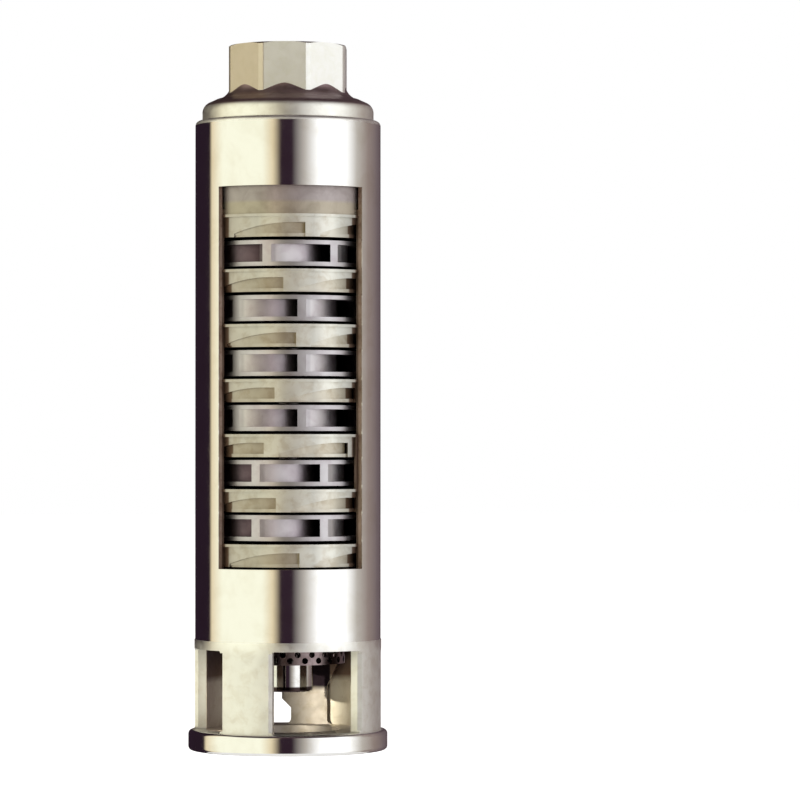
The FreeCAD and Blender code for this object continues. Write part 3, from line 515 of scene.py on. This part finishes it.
# Painted shade: the shell's sawn cut faces and bore are a dark brown, matte copy
SAWN_SHADE = {
    "colour": (0.42, 0.31, 0.25),
    "stain": (0.30, 0.20, 0.16),
    "stain_size": 5 * MM,
    "roughness": (0.5, 0.6),
    "grain_size": 0.5 * MM,
    "grain_depth": 0.02 * MM,
}
BLASTED = {
    "colour": (0.82, 0.81, 0.77),
    "stain": (0.74, 0.71, 0.65),
    "stain_size": 9 * MM,
    "roughness": (0.44, 0.54),
    "grain_size": 0.9 * MM,
    "grain_depth": 0.03 * MM,
}
# Painted shade and light inside the cage: a dark copy of the casting in the middle, a less dark one on
# the left, and a lighter, painted-lit one on the right and on right-facing faces
CAGE_INSIDE_SHADE = {
    **BLASTED,
    "colour": (0.36, 0.32, 0.29),
    "stain": (0.29, 0.25, 0.21),
    "roughness": (0.5, 0.6),
    "tints": {"Z": CAGE_SHADOW_ABOVE},
}
CAGE_LEFT_HALF_SHADE = {
    **BLASTED,
    "colour": (0.64, 0.55, 0.48),
    "stain": (0.54, 0.45, 0.38),
    "roughness": (0.5, 0.6),
    "tints": {"Z": CAGE_LEFT_SHADE_ABOVE},
}
CAGE_RIGHT_LIT = {
    **BLASTED,
    "colour": (0.66, 0.60, 0.51),
    "stain": (0.58, 0.51, 0.42),
    "roughness": (0.5, 0.6),
    "tints": {"Z": CAGE_RIGHT_SHADOW_ABOVE},
}
CAGE_RING = {
    **BLASTED,
    "colour": (0.90, 0.89, 0.85),
    "stain": (0.82, 0.80, 0.74),
    "roughness": (0.30, 0.38),
}
# Painted light: the right leg's left-facing side face is a near-white copy of the casting, as if lit
LEG_SIDE_LIT = {
    **BLASTED,
    "colour": (0.96, 0.95, 0.89),
    "stain": (0.90, 0.88, 0.80),
    "roughness": (0.5, 0.6),
}
LEG_SHADE = {
    **BLASTED,
    "colour": (0.58, 0.55, 0.51),
    "stain": (0.50, 0.47, 0.42),
    "roughness": (0.5, 0.6),
}
HEAD_CASTING = {
    **BLASTED,
    "colour": (0.90, 0.89, 0.83),
    "stain": (0.83, 0.81, 0.74),
    "roughness": (0.38, 0.46),
    "grain_depth": 0.008 * MM,
}
# Painted light: a lighter copy of the head's casting on the octagon
OCTAGON_LIT_CASTING = {
    **HEAD_CASTING,
    "colour": (0.99, 0.99, 0.95),
    "stain": (0.95, 0.95, 0.88),
    "roughness": (0.46, 0.52),
    "tints": {"X": OCTAGON_LEFT_SHADE},
}
FLARE_CASTING = {
    **BLASTED,
    "colour": (0.33, 0.24, 0.25),
    "stain": (0.28, 0.20, 0.20),
    "roughness": (0.40, 0.48),
    "grain_depth": 0.008 * MM,
}
BOWL_CASTING = {
    "colour": (0.54, 0.53, 0.50),
    "stain": (0.45, 0.42, 0.37),
    "stain_size": 9 * MM,
    "roughness": (0.44, 0.52),
    "grain_size": 1.1 * MM,
    "grain_depth": 0.015 * MM,
    "tints": {"R": BOWL_RECESS_SHADE, "Y": WINDOW_EDGE_SHADOW, "X": BOWL_PAINTED_LIGHT},
}
IMPELLER_STEEL = {
    "colour": (0.65, 0.62, 0.63),
    "stain": (0.57, 0.52, 0.54),
    "stain_size": 12 * MM,
    "roughness": (0.42, 0.50),
    "grain_size": 0.8 * MM,
    "grain_depth": 0.003 * MM,
    "tints": {"R": IMPELLER_CHANNEL_SHADE, "X": IMPELLER_PAINTED_LIGHT},
}
# Painted shadow: a dark copy of the impeller steel for the shaded channels
CHANNEL_SHADOW_STEEL = {**IMPELLER_STEEL, "colour": (0.22, 0.17, 0.19), "stain": (0.17, 0.13, 0.15)}
RING_STEEL = {
    "colour": (0.39, 0.35, 0.34),
    "stain": (0.32, 0.28, 0.27),
    "stain_size": 13 * MM,
    "roughness": (0.46, 0.54),
    "grain_size": 1.0 * MM,
    "grain_depth": 0.02 * MM,
}
TURNED = {
    "colour": (0.72, 0.71, 0.69),
    "stain": (0.62, 0.60, 0.56),
    "stain_size": 8 * MM,
    "roughness": (0.18, 0.28),
    "grain_size": 0.5 * MM,
    "grain_depth": 0.004 * MM,
}
# Painted shade: sleeves and wear rings are a near-black copy of the turned steel, dark as if in shadow
# deep inside
SLEEVE_SHADE_STEEL = {**TURNED, "colour": (0.16, 0.14, 0.14), "stain": (0.10, 0.08, 0.08)}
COUPLING_STEEL = {**TURNED, "roughness": (0.06, 0.10), "grain_depth": 0.001 * MM}
SHEET = {
    "colour": (0.30, 0.235, 0.235),
    "stain": (0.19, 0.14, 0.14),
    "stain_size": 7 * MM,
    "roughness": (0.28, 0.38),
    "grain_size": 0.6 * MM,
    "grain_depth": 0.01 * MM,
}
RUBBER = (0.02, 0.02, 0.021)
RUBBER_BLOOM = (0.05, 0.05, 0.048)
RUBBER_ROUGHNESS = 0.7
BLOOM_SIZE = 6 * MM
BLOOM_RANGE = (0.4, 0.7)

# The impellers with a painted shadow in their left channels, and how far across
SHADOWED_CHANNELS = {"impeller_2": -26.0 * MM, "impeller_3": -26.0 * MM, "impeller_7": -22.0 * MM}

# Where one finish fades into the next, as depths below an outside or a top
SHELL_SKIN = (0.6 * MM, 0.2 * MM)
SHELL_BRIM = (4.0 * MM, 2.5 * MM)
FLARE_FOOT = (46.2 * MM, 44.2 * MM)
FLARE_END = (28.0 * MM, 29.0 * MM)
OCTAGON_FOOT = (36.0 * MM, 35.0 * MM)
LEG_SKIN = (8.3 * MM, 7.7 * MM)
FLANGE_RIM = (3.4 * MM, 2.6 * MM)

# Where one finish fades into the next, as places across, heights, radii or parts of a surface's normal
FLARE_SLOPE = (0.04, 0.14)
CAGE_LEFT_EDGE = (-24.0 * MM, -20.0 * MM)
CAGE_RIGHT_EDGE = (33.0 * MM, 34.0 * MM)
CAGE_RIGHT_FACING = (0.3, 0.5)
LEG_SIDE_EDGE = (20.0 * MM, 24.0 * MM)
LEG_SIDE_FACING = (-0.4, -0.5)
LEG_SHADE_EDGE = (0.0, -4.0 * MM)
LEG_SHADE_FACING = (0.35, 0.45)
CAGE_RING_HEIGHT = (70.0 * MM, 84.0 * MM)
CHANNEL_RADIUS = (56.4 * MM, 55.8 * MM)
CHANNEL_SHADOW_FADE = 1.0 * MM


def band_below(name, thickness, tint):
    """A tint for the lowest part of a node, up to that thickness."""
    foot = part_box(name)[0].z
    return ((foot + thickness, tint), (foot + FOOT_FADE * thickness, FULL))


def fade_below(tree, value, top, depths):
    """0 at the first of two depths below that top and 1 at the second."""
    start, full = depths
    return map_range(tree, value, top - start, top - full)


def blend(tree, share, first, second):
    """The first shader where the share is 0 and the second where it is 1."""
    mix = add(tree, "MixShader")
    tree.links.new(share, mix.inputs[0])
    tree.links.new(first, mix.inputs[1])
    tree.links.new(second, mix.inputs[2])
    return mix.outputs[0]


def shell_material():
    """Polished tube with a pale brim; its sawn cut faces and its bore are matte and painted a dark brown
    shade.
    """
    material, tree, surface = new_material("shell_finish")
    position = own_position(tree)
    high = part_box("shell")[1]
    outside = fade_below(tree, axis_distance(tree, position), high.x, SHELL_SKIN)
    brim = fade_below(tree, split_axes(tree, position)["Z"], high.z, SHELL_BRIM)
    both = blend(tree, outside, metal_shader(tree, **SAWN_SHADE), metal_shader(tree, **POLISHED))
    both = blend(tree, brim, both, metal_shader(tree, **BRIM))
    tree.links.new(both, surface)
    return material


def head_material():
    """Blasted casting, darker in the flare between its shoulder and its octagon; the octagon is a lighter
    copy, a painted light, with painted shade on its left faces.
    """
    material, tree, surface = new_material("head_finish")
    height = split_axes(tree, own_position(tree))["Z"]
    slope = split_axes(tree, add(tree, "NewGeometry").outputs["Normal"])["Z"]
    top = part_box("discharge_head")[1].z
    above = fade_below(tree, height, top, FLARE_FOOT)
    below = fade_below(tree, height, top, FLARE_END)
    sloping = map_range(tree, slope, *FLARE_SLOPE)
    share = math_node(tree, "MULTIPLY", math_node(tree, "MULTIPLY", above, below), sloping)
    upper = fade_below(tree, height, top, OCTAGON_FOOT)
    cast = blend(tree, upper, metal_shader(tree, **HEAD_CASTING), metal_shader(tree, **OCTAGON_LIT_CASTING))
    both = blend(tree, share, cast, metal_shader(tree, **FLARE_CASTING))
    tree.links.new(both, surface)
    return material


def bracket_material():
    """Blasted casting with a turned and polished flange rim, and painted shade and light: dark copies
    inside the cage, lighter on its right, and lit and shaded copies on the legs' side faces.
    """
    material, tree, surface = new_material("bracket_finish")
    position = own_position(tree)
    rim_r, leg_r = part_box("suction_bracket")[1].x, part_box("shell")[1].x
    looks = (CAGE_LEFT_HALF_SHADE, CAGE_INSIDE_SHADE, CAGE_RIGHT_LIT, BLASTED, CAGE_RING, LEG_SIDE_LIT, LEG_SHADE, POLISHED)
    left, middle, right, outside, ring, side, shade, rim = (metal_shader(tree, **look) for look in looks)
    from_axis = axis_distance(tree, position)
    axes = split_axes(tree, position)
    facing = split_axes(tree, add(tree, "NewGeometry").outputs["Normal"])["X"]
    # Painted shade and light: the inside switches between its dark and lighter copies by side and by
    # facing
    inside = blend(tree, map_range(tree, axes["X"], *CAGE_LEFT_EDGE), left, middle)
    on_right = map_range(tree, axes["X"], *CAGE_RIGHT_EDGE)
    share = math_node(tree, "MAXIMUM", on_right, map_range(tree, facing, *CAGE_RIGHT_FACING))
    inside = blend(tree, share, inside, right)
    # The legs' side faces: painted light on the right leg's left-facing face, painted shade on the left
    # leg's right-facing face
    flanks = ((side, LEG_SIDE_EDGE, LEG_SIDE_FACING), (shade, LEG_SHADE_EDGE, LEG_SHADE_FACING))
    for look, edge, turn in flanks:
        near = map_range(tree, axes["X"], *edge)
        share = math_node(tree, "MULTIPLY", near, map_range(tree, facing, *turn))
        outside = blend(tree, share, outside, look)
    outside = blend(tree, map_range(tree, axes["Z"], *CAGE_RING_HEIGHT), outside, ring)
    cast = blend(tree, fade_below(tree, from_axis, leg_r, LEG_SKIN), inside, outside)
    both = blend(tree, fade_below(tree, from_axis, rim_r, FLANGE_RIM), cast, rim)
    tree.links.new(both, surface)
    return material


def impeller_material(name, edge):
    """Blasted steel with a painted shadow, a darker copy, in the channels on one side of that place
    across.
    """
    material, tree, surface = new_material(name)
    position = own_position(tree)
    across = map_range(tree, split_axes(tree, position)["X"], edge + CHANNEL_SHADOW_FADE, edge - CHANNEL_SHADOW_FADE)
    deep = map_range(tree, axis_distance(tree, position), *CHANNEL_RADIUS)
    share = math_node(tree, "MULTIPLY", across, deep)
    looks = (metal_shader(tree, **look) for look in (IMPELLER_STEEL, CHANNEL_SHADOW_STEEL))
    tree.links.new(blend(tree, share, *looks), surface)
    return material


def rubber():
    """Black rubber with a dusty bloom."""
    material, tree, surface = new_material("rubber")
    bloom = map_range(tree, noise(tree, own_position(tree), BLOOM_SIZE), *BLOOM_RANGE)
    shader = add(tree, "BsdfPrincipled")
    colour = mix_colour(tree, bloom, (*RUBBER, 1), (*RUBBER_BLOOM, 1))
    tree.links.new(colour, shader.inputs["Base Color"])
    shader.inputs["Roughness"].default_value = RUBBER_ROUGHNESS
    tree.links.new(shader.outputs[0], surface)
    return material


def coupling_bands():
    """The coupling has painted shade: dark at its foot and above the strainer's rim."""
    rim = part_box("strainer")[0].z
    shaded_top = ((rim + COUPLING_SHADE_FROM, FULL), (rim + COUPLING_SHADE_FULL, COUPLING_TOP_SHADE))
    return band_below("coupling", COUPLING_FOOT, COUPLING_FOOT_SHADE) + shaded_top


def dress(nodes, slots):
    """Gives each CAD node the finish of its material slot."""
    ring_wash = band_below("top_ring", RING_FOOT, RING_FOOT_TINT)
    finishes = {
        "polished_steel": shell_material(),
        "blasted_steel": bracket_material(),
        "cast_steel": head_material(),
        "bowl_casting": metal("bowl_finish", **BOWL_CASTING),
        "impeller_steel": metal("impeller_finish", **IMPELLER_STEEL),
        "ring_steel": metal("ring_finish", **RING_STEEL, tints={"Z": ring_wash, "X": TOP_RING_PAINTED_LIGHT}),
        "coupling_steel": metal("coupling_finish", **COUPLING_STEEL, tints={"Z": coupling_bands()}),
        "strainer_sheet": metal("strainer_finish", **SHEET, tints={"R": STRAINER_INSIDE_SHADE}),
        "turned_steel": metal("turned_finish", **TURNED),
        "bearing_rubber": rubber(),
        "seal_rubber": rubber(),
    }
    special = {name: impeller_material(name + "_finish", edge) for name, edge in SHADOWED_CHANNELS.items()}
    # Sleeves and wear rings get the painted-shade copy
    shaded_sleeve_finish = metal("shaded_sleeve_finish", **SLEEVE_SHADE_STEEL)
    special.update({name: shaded_sleeve_finish for name in nodes if "sleeve" in name or "wear_ring" in name})
    for name, obj in nodes.items():
        finish = special.get(name, finishes[slots[name]])
        obj.data.materials.clear()
        obj.data.materials.append(finish)
    return finishes


def make_thread(finish):
    """The pipe thread inside the outlet, as one helical ridge."""
    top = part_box("discharge_head")[1].z - THREAD_START
    turns = int(THREAD_LENGTH / THREAD_PITCH)
    root_r = THREAD_ROOT_R
    crest_r = root_r - THREAD_DEPTH
    half = THREAD_PITCH * THREAD_FOOT
    crest = THREAD_CREST * half
    profile = ((root_r, -half), (crest_r, -crest), (crest_r, crest), (root_r, half))
    mesh = bmesh.new()
    previous = None
    for i in range(turns * THREAD_STEPS + 1):
        a = 2 * math.pi * i / THREAD_STEPS
        z = top - half - THREAD_PITCH * i / THREAD_STEPS
        ring = [mesh.verts.new((r * math.sin(a), -r * math.cos(a), z + dz)) for r, dz in profile]
        if previous:
            for j in range(len(profile)):
                k = (j + 1) % len(profile)
                mesh.faces.new((previous[j], previous[k], ring[k], ring[j]))
        else:
            mesh.faces.new(ring)
        previous = ring
    mesh.faces.new(previous[::-1])
    bmesh.ops.recalc_face_normals(mesh, faces=mesh.faces)
    data = bpy.data.meshes.new("outlet_thread")
    mesh.to_mesh(data)
    mesh.free()
    thread = bpy.data.objects.new("outlet_thread", data)
    bpy.context.scene.collection.objects.link(thread)
    data.materials.append(finish)
    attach(thread, "casing")


def make_spring(node):
    """A copy of the valve's spring, fixed to the casing, in place of the CAD spring."""
    spring = bpy.data.objects.new("valve_spring_coil", node.data.copy())
    bpy.context.scene.collection.objects.link(spring)
    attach(spring, "casing")
    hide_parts("valve_spring")
    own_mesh(spring)


with open("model.json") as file:
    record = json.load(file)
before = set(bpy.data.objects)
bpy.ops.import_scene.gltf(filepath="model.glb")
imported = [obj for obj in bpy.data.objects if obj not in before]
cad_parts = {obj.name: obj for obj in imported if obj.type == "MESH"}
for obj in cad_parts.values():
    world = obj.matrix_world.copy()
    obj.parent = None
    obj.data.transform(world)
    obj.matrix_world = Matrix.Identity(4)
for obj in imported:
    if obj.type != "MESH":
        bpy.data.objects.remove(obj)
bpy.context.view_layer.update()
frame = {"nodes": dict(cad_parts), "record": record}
bpy.context.scene.view_settings.view_transform = "Standard"
make_camera()
make_ground()
make_studio()
make_floor()
for name, lamp in LAMPS.items():
    make_lamp(name, **lamp)
slots = {part["node"]: part["material_slot"] for part in frame["record"]["subparts"]}
finishes = dress(frame["nodes"], slots)
make_thread(finishes["cast_steel"])
make_spring(frame["nodes"]["valve_spring"])
